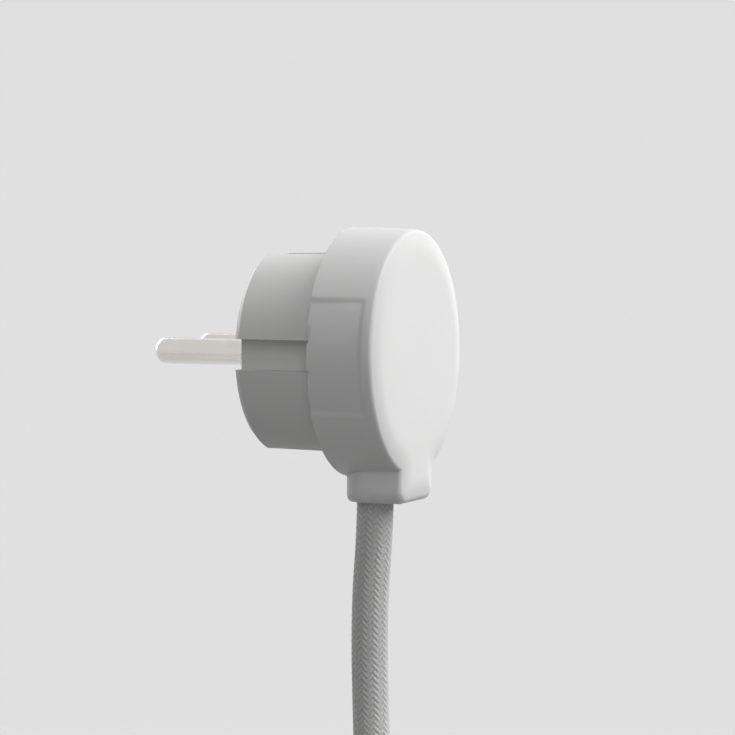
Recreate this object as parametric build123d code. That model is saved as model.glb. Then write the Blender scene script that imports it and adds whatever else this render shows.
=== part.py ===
# A flat round mains plug with earthing contacts, a squared cord tab and a braided cord.
# Millimetres. X to the right, +Y along the pins, +Z up, the cord leaves downwards.
# The origin lies between the two pins, on the face that the pins stand on.
import os
from math import asin, cos, pi, radians, sin, tan

from build123d import *

# The standard pins and the hole for a socket's own earth pin
PIN_SPACING = 19.0
PIN_RADIUS = 2.4
PIN_LENGTH = 19.0
PIN_TIP_RADIUS = 1.7
EARTH_HOLE_HEIGHT = 10.0
EARTH_BORE_RADIUS = 2.5
EARTH_BORE_DEPTH = 14.0

# The nose that enters the socket
NOSE_DEPTH = 16.0
NOSE_RADIUS = 18.7
NOSE_TIP_RADIUS = 18.4
NOSE_EDGE = 1.0
NOSE_FLOOR = 3.0
NOSE_BORE_RADIUS = 16.6
GUIDE_WIDTH = 5.6
GUIDE_FLOOR = 14.6
EARTH_SLOT_WIDTH = 9.8
EARTH_SLOT_FLOOR = 15.0
SLOT_WALL = 1.5
FLANGE_THICKNESS = 2.0

# The flat round cover
COVER_RADIUS = 22.8
COVER_FRONT_RADIUS = 22.5
COVER_DEPTH = 12.9
COVER_WALL = 1.9
COVER_CORNER = 1.2
CROWN_DROP = 0.6
CROWN_WIDTH = 4.5
FRONT_EDGE = 0.8

# The squared tab at six o'clock
TAB_HALF_WIDTH = 8.0
TAB_BOTTOM = -27.3
TAB_EDGE = 1.3
TAB_CORNER = 2.4
TAB_REAR_CORNER = 5.4
TAB_REAR_EDGE = 1.2
TAB_REAR_GAP = 0.1
TONGUE_TOP = -18.0

# The shallow finger recesses on the cover's two sides, and the thin gaps at their rim
GRIP_HALF_HEIGHT = 10.0
GRIP_LENGTH = 10.1
GRIP_CORNER = 1.5
GRIP_DEPTH = 0.3
NAIL_SLOT_LOW = 2.45
NAIL_SLOT_HIGH = 9.8
NAIL_SLOT_GAP = 0.6

# The stiffening web and the screw boss inside the cover
WEB_HEIGHT = 1.4
WEB_ROOT = 0.2
WEB_RING_RADIUS = 12.6
WEB_RING_WIDTH = 1.0
WEB_RING_BOTTOM = -6.0
WEB_RIB_WIDTH = 1.0
WEB_RIB_START = 3.0
WEB_RIB_TURN = 30
WEB_RIBS = 7
BOSS_RADIUS = 3.75
INSERT_RADIUS = 2.3
INSERT_GROOVE_RADIUS = 2.0
INSERT_DEPTH = 6.8

# The wells and columns inside the nose
PIN_WELL_RADIUS = 5.0
PIN_WELL_BACK = -11.0
EARTH_WELL_RADIUS = 4.3
EARTH_WELL_BACK = -13.0
SCREW_COLUMN_RADIUS = 3.6
WIRE_WINDOW_HALF_WIDTH = 1.7
WIRE_WINDOW_FRONT = -12.0
WIRE_WINDOW_BACK = -7.2
WIRE_WINDOW_BOTTOM = -7.0

# The bed under the cord and the clamp over it
BED_HALF_WIDTH = 12.0
BED_BOTTOM = -21.0
BED_TOP = -12.6
BED_BACK = -15.6
CLAMP_SCREW_X = 8.6
CLAMP_Z = -15.9
CLAMP_BACK = -23.95
CLAMP_THICKNESS = 1.8
CLAMP_LENGTH = 22.4
CLAMP_WIDTH = 4.8
CLAMP_POST_RADIUS = 2.3
CLAMP_SINK = 1.1
CLAMP_SCREW_RADIUS = 1.0
CLAMP_SCREW_END = -17.2

# The contacts, their screws and the earth bracket
PIN_NECK_RADIUS = 2.6
HEAD_RADIUS = 3.7
HEAD_BACK = -14.0
HEAD_EDGE = 0.4
CROSS_HOLE_Y = -9.0
CROSS_HOLE_TOP = 3.0
TERMINAL_SCREW_RADIUS = 1.25
TERMINAL_HEAD_RADIUS = 2.6
TERMINAL_HEAD_HEIGHT = 1.9
TERMINAL_SLOT_WIDTH = 0.7
TERMINAL_SLOT_DEPTH = 0.9
BRACKET_FRONT = -14.5
BRACKET_THICKNESS = 0.8
BRACKET_HALF_WIDTH = 4.0
BRACKET_BEND = 0.65
BRACKET_BOW = 0.85
BRACKET_END_Y = -1.6
EARTH_SLEEVE_RADIUS = 3.15
RIVET_RADIUS = 1.5
RIVET_PROUD = 0.5
EARTH_TERMINAL_Z = -7.0
EARTH_TERMINAL_HALF = 2.6
EARTH_TERMINAL_FRONT = -21.3
EARTH_TERMINAL_EDGE = 0.6
EARTH_SCREW_HEAD_RADIUS = 2.3

# The long screw that holds the cover
SCREW_RADIUS = 1.6
SCREW_HEAD_RADIUS = 3.1
SCREW_HEAD_TOP = -0.2
SCREW_HEAD_BOTTOM = -2.2
SCREW_END = -22.0

# The cord and its three cores
CORD_RADIUS = 3.5
CORD_BORE_RADIUS = 3.6
CORD_AXIS_Y = -20.4
JACKET_TOP = -13.0
CORE_RADIUS = 1.25
CORE_CIRCLE = 1.9
CORE_BEND = 2.0
FERRULE_RADIUS = 1.0
FERRULE_COLLAR_RADIUS = 1.6

# The put-away length, folded into a hank that hangs below the plug
HANK_MIDDLE = (0.0, -38.4, -143.5)
HANK_HALF_HEIGHT = 65.5
HANK_LOBE_RADIUS = 27.5
HANK_WAIST_HALF_WIDTH = 11.0
HANK_HALF_DEPTH = 14.4
HANK_EDGE = 3.0
STEP_TOP = 22.0
STEP_BOTTOM = 8.0
TIE_HALF_HEIGHT = 7.0
TIE_THICKNESS = 1.0

# The cord's far end
SLEEVE_TOP = -198.5
SLEEVE_BOTTOM = -212.0
SLEEVE_WALL = 0.5
SLEEVE_END_RADIUS = 3.6
CORE_STRAIGHT = 2.0
CORE_SPREAD = 2.4
CORE_SPREAD_Z = -226.0
CORE_END = -238.0
END_CORE_BEND = 12.0
END_COLLAR_LENGTH = 3.5
END_TUBE_RADIUS = 0.95
END_TUBE_LENGTH = 7.0

# Clearances of pieces that fit loosely and closely
LOOSE = 0.1
CLOSE = 0.05

# Longer than any of the plug's pieces, for cutters that pass right through
FAR = 60.0

# Places that follow from the dimensions above
PIN_X = PIN_SPACING / 2
RIM_Y = -NOSE_DEPTH
FLANGE_Y = RIM_Y - FLANGE_THICKNESS
FACE_Y = RIM_Y - COVER_DEPTH
INNER_FACE_Y = FACE_Y + CROWN_DROP + COVER_WALL
COVER_BORE_RADIUS = COVER_FRONT_RADIUS - COVER_WALL + 0.3
FLANGE_RADIUS = COVER_BORE_RADIUS - LOOSE
CROWN_RADIUS = (CROWN_WIDTH**2 + CROWN_DROP**2) / (2 * CROWN_DROP)
BRACKET_BACK = BRACKET_FRONT - BRACKET_THICKNESS
CLAMP_FRONT = CLAMP_BACK - CLAMP_THICKNESS
EARTH_WIRE_Y = CORD_AXIS_Y + CORE_CIRCLE
HANK_BACK_Y = HANK_MIDDLE[1] + HANK_HALF_DEPTH + CORD_RADIUS + LOOSE
TAIL_Y = HANK_MIDDLE[1] - HANK_HALF_DEPTH - CORD_RADIUS - LOOSE

# The routes of the two stretches of cord that aren't in the hank
CORD_ROUTE = [
    (0.0, CORD_AXIS_Y, JACKET_TOP),
    (0.0, CORD_AXIS_Y, -30.0),
    (0.0, -19.15, -48.0),
    (0.3, -19.7, -72.0),
    (0.0, HANK_BACK_Y, -97.0),
    (0.0, HANK_BACK_Y, HANK_MIDDLE[2] + STEP_TOP),
]
TAIL_ROUTE = [
    (0.0, TAIL_Y, HANK_MIDDLE[2] - STEP_TOP),
    (0.0, TAIL_Y, -178.0),
    (0.5, TAIL_Y - 0.7, -192.0),
    (0.5, TAIL_Y - 0.7, -206.0),
]


def slab(sketch, back, front):
    """A sketch in X and Z, carried along Y from its back place to its front place, front being lower."""
    return extrude(Plane.XZ.offset(-back) * sketch, amount=back - front)


def rod(radius, back, front, x=0.0, z=0.0):
    """A round rod along Y."""
    return slab(Pos(x, z) * Circle(radius), back, front)


def upright(radius, bottom, top, x=0.0, y=0.0):
    """A round rod along Z."""
    return extrude(Plane.XY.offset(bottom) * Pos(x, y) * Circle(radius), amount=top - bottom)


def block(x, y, z):
    """A block between two places along each axis, given in either order."""
    sides = [sorted(pair) for pair in (x, y, z)]
    middle = [(low + high) / 2 for low, high in sides]
    return Pos(*middle) * Box(*[high - low for low, high in sides])


def turned(points, x=0.0, z=0.0):
    """A piece turned about a line along Y, from its outline as radius and Y."""
    face = make_face(Plane.XY * Polyline(*points, close=True))
    return Pos(x, 0, z) * revolve(face, Axis.Y)


def crowned_face(outer, back, back_outer, edge):
    """The half section of a crowned block, from its middle line out to its side.

    The crown is a shallow arc. A small arc of the edge's radius carries it on into the side."""
    inner = outer - CROWN_WIDTH
    slope = asin((CROWN_WIDTH - edge) / (CROWN_RADIUS - edge))
    crown = [crown_point(inner, angle) for angle in (0.0, slope / 2, slope)]
    edge_x, edge_y = outer - edge, crown[-1][1] + edge * cos(slope)
    turn = (slope + pi / 2) / 2
    corner = (edge_x + edge * sin(turn), edge_y - edge * cos(turn))
    side = (outer, edge_y)
    outline = [
        Line((0, back), (0, FACE_Y)),
        Line((0, FACE_Y), crown[0]),
        ThreePointArc(*crown),
        ThreePointArc(crown[-1], corner, side),
        Line(side, (back_outer, back)),
        Line((back_outer, back), (0, back)),
    ]
    return make_face(outline)


def crown_point(inner, angle):
    """A place on the crown's arc, in X and Y, at an angle from where the crown starts."""
    return inner + CROWN_RADIUS * sin(angle), FACE_Y + CROWN_RADIUS * (1 - cos(angle))


def cover_disc():
    """The round body, turned about the plug's axis, with a crowned face and a little draft."""
    return revolve(Plane.XY * crowned_face(COVER_FRONT_RADIUS, RIM_Y, COVER_RADIUS, FRONT_EDGE), Axis.Y)


def cover_tab():
    """The squared tab: three crossing outlines, for its sides, its bottom and its corners."""
    rear = RIM_Y - TAB_REAR_GAP
    half = crowned_face(TAB_HALF_WIDTH, rear, TAB_HALF_WIDTH, FRONT_EDGE)
    across = extrude(Plane.XY.offset(-FAR) * (half + mirror(half, Plane.YZ)), amount=FAR)
    rear_edges = across.edges().filter_by(Axis.Z).group_by(Axis.Y)[-1]
    across = fillet(rear_edges, TAB_REAR_CORNER)
    downward = Plane(origin=(-FAR, 0, 0), x_dir=(0, 0, -1), z_dir=(1, 0, 0))
    along = extrude(downward * crowned_face(-TAB_BOTTOM, rear, -TAB_BOTTOM, TAB_EDGE), amount=2 * FAR)
    along = round_low_rear(along)
    outline = Pos(0, TAB_BOTTOM / 2) * Rectangle(2 * TAB_HALF_WIDTH, -TAB_BOTTOM)
    low = outline.vertices().sort_by(Axis.Y)[:2]
    corners = slab(fillet(low, TAB_CORNER), RIM_Y + 1, FACE_Y - 1)
    return across & along & corners


def round_low_rear(body):
    """Rounds the edge along X where a body's rear meets its bottom."""
    rear_edges = body.edges().filter_by(Axis.X).group_by(Axis.Y)[-1]
    return fillet(rear_edges.sort_by(Axis.Z)[:1], TAB_REAR_EDGE)


def grip_cut(side):
    """The cutter of one finger recess, an even step into the round side."""
    ring = rod(FAR, RIM_Y + 1, FACE_Y) - rod(COVER_RADIUS - GRIP_DEPTH, RIM_Y + 1, FACE_Y)
    length = GRIP_LENGTH + GRIP_CORNER
    window = RectangleRounded(length, 2 * GRIP_HALF_HEIGHT, GRIP_CORNER)
    window = Pos(RIM_Y - GRIP_LENGTH + length / 2, 0) * window
    return ring & extrude(Plane.YZ * window, amount=side * FAR)


def nail_slots(side):
    """The two thin gaps at the rim of one finger recess, above and below its middle."""
    across = (side * (COVER_BORE_RADIUS + 0.7), side * FAR)
    depth = (RIM_Y - NAIL_SLOT_GAP, RIM_Y + 1)
    return [block(across, depth, (end * NAIL_SLOT_LOW, end * NAIL_SLOT_HIGH)) for end in (-1, 1)]


def cord_channel():
    """The bore for the cord, open to the rear so that the cord can be laid in, with a flared mouth."""
    bore = upright(CORD_BORE_RADIUS, TAB_BOTTOM - 1, -15, y=CORD_AXIS_Y)
    slot = block((-CORD_BORE_RADIUS, CORD_BORE_RADIUS), (CORD_AXIS_Y, RIM_Y + 1), (TAB_BOTTOM - 1, -17))
    flare = Pos(0, CORD_AXIS_Y, TAB_BOTTOM + 0.2) * Cone(CORD_BORE_RADIUS + 0.5, CORD_BORE_RADIUS, 0.6)
    return bore + slot + flare


def cover_web():
    """The low ring and the seven ribs that stiffen the cover's face from inside."""
    top, root = INNER_FACE_Y + WEB_HEIGHT, INNER_FACE_Y - WEB_ROOT
    ring = rod(WEB_RING_RADIUS, top, root) - rod(WEB_RING_RADIUS - WEB_RING_WIDTH, top, root)
    web = ring & block((-FAR, FAR), (top, root), (WEB_RING_BOTTOM, FAR))
    length = (WEB_RIB_START, COVER_BORE_RADIUS - 1.0)
    width = (-WEB_RIB_WIDTH / 2, WEB_RIB_WIDTH / 2)
    for step in range(WEB_RIBS):
        web = web + Rot(0, -WEB_RIB_TURN * step, 0) * block(length, (root, top), width)
    return web


def front_cover():
    """The one-piece moulded cover: round shell, cord tab, screw boss and stiffening web."""
    shell = cover_disc() + cover_tab()
    cavity = rod(COVER_BORE_RADIUS, RIM_Y + 1, INNER_FACE_Y)
    cavity = fillet(cavity.edges().sort_by(Axis.Y)[:1], COVER_CORNER)
    shell = shell - cavity - cord_channel()
    for side in (-1, 1):
        shell = shell - grip_cut(side)
        for cut in nail_slots(side):
            shell = shell - cut
    boss = rod(BOSS_RADIUS, BRACKET_BACK - LOOSE, INNER_FACE_Y - WEB_ROOT)
    return shell + cover_web() + boss - rod(INSERT_RADIUS, BRACKET_BACK, RIM_Y - INSERT_DEPTH - 0.2)


def nose_solid():
    """The nose with its flange, turned and hollowed."""
    outline = [
        (0, FLANGE_Y),
        (FLANGE_RADIUS, FLANGE_Y),
        (FLANGE_RADIUS, RIM_Y),
        (NOSE_RADIUS, RIM_Y),
        (NOSE_TIP_RADIUS, -NOSE_EDGE),
        (NOSE_TIP_RADIUS - NOSE_EDGE, 0),
        (0, 0),
    ]
    return turned(outline) - rod(NOSE_BORE_RADIUS, -NOSE_FLOOR, FLANGE_Y - 1)


def slot_walls():
    """The walls inside the nose that stand behind its guide grooves and its earth slots."""
    floor = -NOSE_FLOOR + 0.5
    reach = NOSE_BORE_RADIUS + 1
    guide_half = GUIDE_WIDTH / 2 + SLOT_WALL
    slot_half = EARTH_SLOT_WIDTH / 2 + SLOT_WALL
    walls = []
    for side in (-1, 1):
        guide = (side * (GUIDE_FLOOR - SLOT_WALL), side * reach)
        walls.append(block(guide, (FLANGE_Y, floor), (-guide_half, guide_half)))
        slot = (side * (EARTH_SLOT_FLOOR - SLOT_WALL), side * reach)
        walls.append(block((-slot_half, slot_half), (RIM_Y + 0.2, floor), slot))
    within = rod(NOSE_BORE_RADIUS + 0.5, floor, FLANGE_Y)
    return [wall & within for wall in walls]


def inner_columns():
    """The wells round the pins' heads and the earth sleeve, and the column round the long screw."""
    floor = -NOSE_FLOOR + 0.5
    columns = [rod(PIN_WELL_RADIUS, floor, PIN_WELL_BACK, x=side * PIN_X) for side in (-1, 1)]
    columns.append(rod(SCREW_COLUMN_RADIUS, floor, BRACKET_FRONT + LOOSE))
    columns.append(rod(EARTH_WELL_RADIUS, floor, EARTH_WELL_BACK, z=EARTH_HOLE_HEIGHT))
    return columns


def cord_bed():
    """The bed under the cord, its two clamp posts, and the tongue that closes the cover's tab."""
    bed = block((-BED_HALF_WIDTH, BED_HALF_WIDTH), (FLANGE_Y, BED_BACK), (BED_BOTTOM, BED_TOP))
    bed = bed & rod(FLANGE_RADIUS, 0, FLANGE_Y)
    for side in (-1, 1):
        bed = bed + rod(CLAMP_POST_RADIUS, RIM_Y, CLAMP_BACK + CLOSE, x=side * CLAMP_SCREW_X, z=CLAMP_Z)
    half = CORD_BORE_RADIUS - LOOSE
    tongue = block((-half, half), (CORD_AXIS_Y, RIM_Y - TAB_REAR_GAP), (TAB_BOTTOM + LOOSE, TONGUE_TOP))
    return bed + round_low_rear(tongue)


def pin_seat(side):
    """The cutter of one pin's seat: a hole for its neck, a well for its head and a window for its wire."""
    seat = rod(PIN_NECK_RADIUS + CLOSE, 1, -NOSE_FLOOR - LOOSE, x=side * PIN_X)
    seat = seat + rod(HEAD_RADIUS + LOOSE, -NOSE_FLOOR, FLANGE_Y - 1, x=side * PIN_X)
    across = (side * PIN_X - WIRE_WINDOW_HALF_WIDTH, side * PIN_X + WIRE_WINDOW_HALF_WIDTH)
    return seat + block(across, (WIRE_WINDOW_FRONT, WIRE_WINDOW_BACK), (WIRE_WINDOW_BOTTOM, 0))


def outer_grooves(side):
    """The cutters of one guide groove and one earth slot, with the slot's window for the bent strip."""
    guide = block((side * GUIDE_FLOOR, side * FAR), (RIM_Y, 1), (-GUIDE_WIDTH / 2, GUIDE_WIDTH / 2))
    across = (-EARTH_SLOT_WIDTH / 2, EARTH_SLOT_WIDTH / 2)
    slot = block(across, (RIM_Y, 1), (side * EARTH_SLOT_FLOOR, side * FAR))
    half = BRACKET_HALF_WIDTH + LOOSE
    height = (side * (EARTH_SLOT_FLOOR - SLOT_WALL - 1), side * (EARTH_SLOT_FLOOR + 1))
    window = block((-half, half), (RIM_Y + 0.2, BRACKET_FRONT + LOOSE), height)
    return [guide, slot, window]


def contact_carrier():
    """The moulded insert that holds the contacts and forms the nose."""
    body = nose_solid()
    for piece in slot_walls() + inner_columns() + [cord_bed()]:
        body = body + piece
    for side in (-1, 1):
        body = body - pin_seat(side)
        for cut in outer_grooves(side):
            body = body - cut
        body = body - rod(CLAMP_SCREW_RADIUS, CLAMP_SCREW_END + 0.2, -FAR, x=side * CLAMP_SCREW_X, z=CLAMP_Z)
    body = body - upright(CORD_BORE_RADIUS, -FAR, -11.0, y=CORD_AXIS_Y)
    body = body - rod(SCREW_RADIUS + 2 * LOOSE, 1, FLANGE_Y - 1)
    body = body - rod(SCREW_HEAD_RADIUS + 2 * LOOSE, 1, SCREW_HEAD_BOTTOM)
    return body - rod(EARTH_SLEEVE_RADIUS + LOOSE, 1, FLANGE_Y - 1, z=EARTH_HOLE_HEIGHT)


def cord_clamp():
    """The bar over the cord, with rounded ends and countersunk holes."""
    bar = slab(Pos(0, CLAMP_Z) * SlotOverall(CLAMP_LENGTH, CLAMP_WIDTH), CLAMP_BACK, CLAMP_FRONT)
    hole = CLAMP_SCREW_RADIUS + 0.3
    sink = [
        (0, CLAMP_BACK + 1),
        (hole, CLAMP_BACK + 1),
        (hole, CLAMP_FRONT + CLAMP_SINK),
        (hole + 0.8, CLAMP_FRONT),
        (0, CLAMP_FRONT),
    ]
    for side in (-1, 1):
        bar = bar - turned(sink, x=side * CLAMP_SCREW_X, z=CLAMP_Z)
    return bar


def clamp_screws():
    """Two countersunk screws that hold the bar on its posts."""
    head_top = CLAMP_FRONT + LOOSE
    outline = [
        (0, CLAMP_SCREW_END),
        (CLAMP_SCREW_RADIUS - 0.4, CLAMP_SCREW_END),
        (CLAMP_SCREW_RADIUS, CLAMP_SCREW_END - 0.6),
        (CLAMP_SCREW_RADIUS, CLAMP_FRONT + CLAMP_SINK),
        (2 * CLAMP_SCREW_RADIUS, head_top),
        (0, head_top),
    ]
    slot = block((-2.2, 2.2), (head_top - 1, head_top + 0.5), (-0.25, 0.25))
    screw = turned(outline) - slot
    return Compound(children=[Pos(side * CLAMP_SCREW_X, 0, CLAMP_Z) * screw for side in (-1, 1)])


def contact_pin(side):
    """A turned pin: rounded tip, plain shank, neck, and a thick head with a wire hole and a screw hole."""
    tip_x, tip_y = PIN_RADIUS - PIN_TIP_RADIUS, PIN_LENGTH - PIN_TIP_RADIUS
    bend = PIN_TIP_RADIUS * cos(pi / 4)
    head_front = -NOSE_FLOOR
    corners = [
        (PIN_RADIUS, tip_y),
        (PIN_RADIUS, 0),
        (PIN_NECK_RADIUS, 0),
        (PIN_NECK_RADIUS, head_front),
        (HEAD_RADIUS - HEAD_EDGE, head_front),
        (HEAD_RADIUS, head_front - HEAD_EDGE),
        (HEAD_RADIUS, HEAD_BACK + HEAD_EDGE),
        (HEAD_RADIUS - HEAD_EDGE, HEAD_BACK),
        (0, HEAD_BACK),
        (0, PIN_LENGTH),
        (tip_x, PIN_LENGTH),
    ]
    tip = ThreePointArc((tip_x, PIN_LENGTH), (tip_x + bend, tip_y + bend), (PIN_RADIUS, tip_y))
    pin = revolve(make_face([Polyline(*corners), tip]), Axis.Y)
    pin = pin - upright(FERRULE_RADIUS, -FAR, CROSS_HOLE_TOP, y=CROSS_HOLE_Y)
    pin = pin - rod(TERMINAL_SCREW_RADIUS, CROSS_HOLE_Y, HEAD_BACK - 1)
    return Pos(side * PIN_X, 0, 0) * pin


def terminal_screw(head_back, shank_back, head_radius, x=0.0, z=0.0):
    """A cheese-head terminal screw with a slot, its head towards the cover."""
    head_front = head_back - TERMINAL_HEAD_HEIGHT
    outline = [
        (0, shank_back),
        (TERMINAL_SCREW_RADIUS - 0.4, shank_back),
        (TERMINAL_SCREW_RADIUS, shank_back - 0.4),
        (TERMINAL_SCREW_RADIUS, head_back),
        (head_radius, head_back),
        (head_radius, head_front + 0.3),
        (head_radius - 0.3, head_front),
        (0, head_front),
    ]
    length = (-head_radius - 1, head_radius + 1)
    width = (-TERMINAL_SLOT_WIDTH / 2, TERMINAL_SLOT_WIDTH / 2)
    slot = block(length, (head_front - 1, head_front + TERMINAL_SLOT_DEPTH), width)
    return Pos(x, 0, z) * (turned(outline) - slot)


def earth_bracket():
    """One bent strip: a base behind the nose's hollow and a bowed contact leg on each side."""
    middle = BRACKET_BACK + BRACKET_THICKNESS / 2
    foot = EARTH_SLOT_FLOOR + BRACKET_THICKNESS / 2 + LOOSE
    leg = [(BRACKET_END_Y, foot), (-7.5, foot + BRACKET_BOW), (-12.6, foot), (middle, foot)]
    path = FilletPolyline(*leg, *[(y, -z) for y, z in reversed(leg)], radius=BRACKET_BEND)
    strip = extrude(Plane.YZ * trace(path, BRACKET_THICKNESS), amount=BRACKET_HALF_WIDTH, both=True)
    for radius, height in ((1.9, 0), (RIVET_RADIUS, EARTH_HOLE_HEIGHT), (RIVET_RADIUS, EARTH_TERMINAL_Z)):
        strip = strip - rod(radius, BRACKET_FRONT + 1, BRACKET_BACK - 1, z=height)
    return strip


def earth_socket():
    """The sleeve for a socket's own earth pin, riveted to the bracket."""
    sleeve = rod(EARTH_SLEEVE_RADIUS, 0, BRACKET_FRONT, z=EARTH_HOLE_HEIGHT)
    sleeve = sleeve - rod(EARTH_BORE_RADIUS, 1, -EARTH_BORE_DEPTH, z=EARTH_HOLE_HEIGHT)
    return sleeve + rod(RIVET_RADIUS, BRACKET_FRONT, BRACKET_BACK - RIVET_PROUD, z=EARTH_HOLE_HEIGHT)


def earth_terminal():
    """The block that clamps the earth core, riveted to the bracket."""
    half = EARTH_TERMINAL_HALF
    height = (EARTH_TERMINAL_Z - half, EARTH_TERMINAL_Z + half)
    body = block((-half, half), (EARTH_TERMINAL_FRONT, BRACKET_BACK), height)
    body = chamfer(body.edges().filter_by(Axis.Y), EARTH_TERMINAL_EDGE)
    body = body + rod(RIVET_RADIUS, BRACKET_FRONT + 0.4, BRACKET_BACK, z=EARTH_TERMINAL_Z)
    body = body - upright(FERRULE_RADIUS, -FAR, EARTH_TERMINAL_Z + CORE_CIRCLE, y=EARTH_WIRE_Y)
    return body - rod(TERMINAL_SCREW_RADIUS, EARTH_WIRE_Y, EARTH_TERMINAL_FRONT - 1, z=EARTH_TERMINAL_Z)


def housing_screw():
    """The long slotted screw through the nose that pulls the cover on."""
    outline = [
        (0, SCREW_HEAD_TOP),
        (SCREW_HEAD_RADIUS, SCREW_HEAD_TOP),
        (SCREW_HEAD_RADIUS, SCREW_HEAD_BOTTOM),
        (SCREW_RADIUS, SCREW_HEAD_BOTTOM),
        (SCREW_RADIUS, SCREW_END + 0.6),
        (SCREW_RADIUS - 0.6, SCREW_END),
        (0, SCREW_END),
    ]
    return turned(outline) - block((-4, 4), (SCREW_HEAD_TOP - 1, 0), (-0.45, 0.45))


def threaded_insert():
    """The brass insert in the cover's boss: two bands with a groove between them."""
    top, bottom = RIM_Y - 0.2, RIM_Y - INSERT_DEPTH
    groove = top - 3.8
    outline = [
        (SCREW_RADIUS, top),
        (INSERT_RADIUS, top),
        (INSERT_RADIUS, groove + 1.4),
        (INSERT_GROOVE_RADIUS, groove + 1.1),
        (INSERT_GROOVE_RADIUS, groove),
        (INSERT_RADIUS, groove - 0.3),
        (INSERT_RADIUS, bottom),
        (SCREW_RADIUS, bottom),
    ]
    return turned(outline)


def ferrule(x, y, bottom, top, collar):
    """A crimped ferrule on a core: a narrow tube with a wider collar below it."""
    tube = upright(FERRULE_RADIUS, bottom, top, x=x, y=y)
    return tube + upright(FERRULE_COLLAR_RADIUS, bottom - collar, bottom, x=x, y=y)


def swept(points, radius, bend):
    """A round tube of straight runs joined by tangent arcs."""
    path = FilletPolyline(*points, radius=bend)
    start = Plane(origin=path @ 0, z_dir=path % 0)
    return sweep(start * Circle(radius), path=path)


def live_core(side):
    """An insulated core from the jacket's end round to a pin's head."""
    x, y = side * 1.65, CORD_AXIS_Y - CORE_CIRCLE / 2
    points = [(x, y, JACKET_TOP), (x, y, JACKET_TOP + 1.5), (side * 5.4, -21.0, -9.6)]
    points += [(side * PIN_X, -19.8, -8.3), (side * PIN_X, CROSS_HOLE_Y, -10.9)]
    points += [(side * PIN_X, CROSS_HOLE_Y, -7.0)]
    return swept(points, CORE_RADIUS, CORE_BEND)


def route_radii(points):
    """The bend at each corner of a cord's route: as large as its two runs allow."""
    radii = []
    for before, here, after in zip(points, points[1:], points[2:]):
        come, leave = Vector(here) - Vector(before), Vector(after) - Vector(here)
        half = radians(come.get_angle(leave)) / 2
        radii.append(0.45 * min(come.length, leave.length) / tan(half))
    return radii


def cord_tube(name, points):
    """A stretch of the cord, with its bends and its volume printed."""
    radii = route_radii(points)
    tube = swept(points, CORD_RADIUS, radii)
    length = FilletPolyline(*points, radius=radii).length
    ratio = tube.volume / (pi * CORD_RADIUS**2 * length)
    print(name, "radii", [round(r) for r in radii], "length", round(length, 1))
    print(name, "volume over section times length", round(ratio, 4))
    return tube


def hank_outline():
    """The hank's front outline: two round lobes, each drawn in to the tied waist."""
    centre = HANK_HALF_HEIGHT - HANK_LOBE_RADIUS
    half = HANK_WAIST_HALF_WIDTH
    outline = Rectangle(2 * half, 2 * STEP_BOTTOM)
    for end in (-1, 1):
        lobe = Pos(0, end * centre) * Circle(HANK_LOBE_RADIUS)
        edge = Line((-half, end * STEP_BOTTOM), (half, end * STEP_BOTTOM))
        outline = outline + make_hull(lobe.edges() + edge.edges())
    return outline


def cord_hank():
    """The outer shape of the tied hank, with a step where the cord joins it and one where it leaves."""
    x, y, z = HANK_MIDDLE
    body = slab(Pos(x, z) * hank_outline(), y + HANK_HALF_DEPTH, y - HANK_HALF_DEPTH)
    body = fillet(body.edges().filter_by(Plane.XZ), HANK_EDGE)
    for end in (-1, 1):
        depth = (y, y + end * (HANK_HALF_DEPTH + 2 * CORD_RADIUS))
        height = (z + end * STEP_BOTTOM, z + end * STEP_TOP)
        body = body + block((x - CORD_RADIUS, x + CORD_RADIUS), depth, height)
    return body


def cord_tie():
    """The strap round the hank's waist."""
    x, y, z = HANK_MIDDLE
    width, depth = 2 * HANK_WAIST_HALF_WIDTH, 2 * HANK_HALF_DEPTH
    inner = RectangleRounded(width, depth, HANK_EDGE)
    outer = offset(inner, TIE_THICKNESS)
    foot = Plane.XY.offset(z - TIE_HALF_HEIGHT) * Pos(x, y)
    return extrude(foot * (outer - inner), amount=2 * TIE_HALF_HEIGHT)


def core_places(circle=CORE_CIRCLE):
    """Where the three cores stand round the cord's middle."""
    return [(circle * cos(radians(a)), circle * sin(radians(a))) for a in (90, 210, 330)]


def end_sleeve():
    """The shrunk sleeve on the cord's far end, over the jacket above and the cores below."""
    x, y, end = TAIL_ROUTE[-1]
    outer = CORD_RADIUS + SLEEVE_WALL
    body = upright(outer, end, SLEEVE_TOP, x=x, y=y)
    body = body + Pos(x, y, (end + SLEEVE_BOTTOM) / 2) * Cone(SLEEVE_END_RADIUS, outer, end - SLEEVE_BOTTOM)
    body = body - upright(CORD_RADIUS, end, SLEEVE_TOP + 1, x=x, y=y)
    for dx, dy in core_places():
        body = body - upright(CORE_RADIUS, SLEEVE_BOTTOM - 1, end + 1, x=x + dx, y=y + dy)
    return body


def end_core(index):
    """One insulated core that leaves the sleeve and spreads a little."""
    x, y, end = TAIL_ROUTE[-1]
    dx, dy = core_places()[index]
    far_x, far_y = core_places(CORE_SPREAD * CORE_CIRCLE)[index]
    points = [(x + dx, y + dy, end), (x + dx, y + dy, SLEEVE_BOTTOM - CORE_STRAIGHT)]
    points += [(x + far_x, y + far_y, CORE_SPREAD_Z), (x + far_x, y + far_y, CORE_END)]
    return swept(points, CORE_RADIUS, END_CORE_BEND)


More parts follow.
